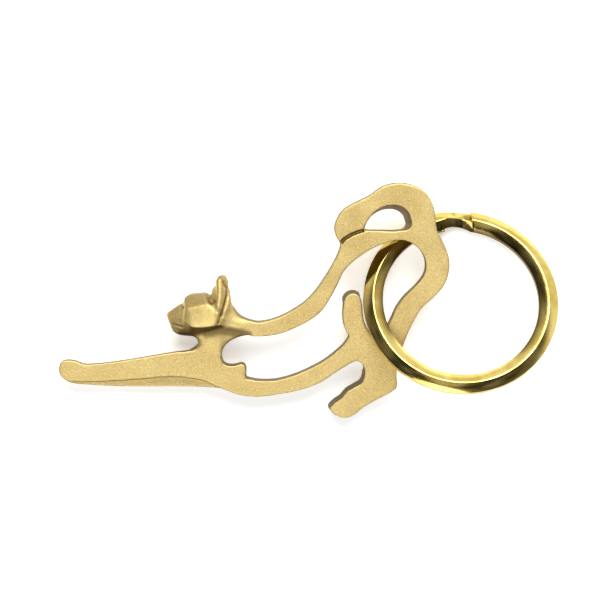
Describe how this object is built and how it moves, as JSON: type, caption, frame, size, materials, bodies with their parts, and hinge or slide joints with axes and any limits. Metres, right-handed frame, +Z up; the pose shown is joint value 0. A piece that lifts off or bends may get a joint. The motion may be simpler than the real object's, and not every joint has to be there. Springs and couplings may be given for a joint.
{
  "type": "keychain bottle opener",
  "caption": "Cast brass bottle opener in the outline of a stretching cat, carried on a bevelled split key ring that swings on its back.",
  "frame": {"origin": "on the surface the part rests on, under the middle of its box", "axes": "+X from the front paws to the key ring, +Y from the hind foot to the rump, +Z up from the resting surface"},
  "size_m": [0.1002, 0.0474, 0.0138],
  "materials": {
    "cast_brass": "matt sand-blasted casting",
    "polished_brass": "polished"
  },
  "bodies": {
    "opener": {"opener_body": "cast_brass"},
    "ring": {"split_ring": "polished_brass"}
  },
  "joints": [
    {"name": "ring_swing", "type": "hinge", "parent": "opener", "child": "ring", "pos_m": [0.014, 0.005, 0.0063], "axis": [-0.6623, -0.7024, 0.2609], "range_deg": [0, 120]}
  ]
}
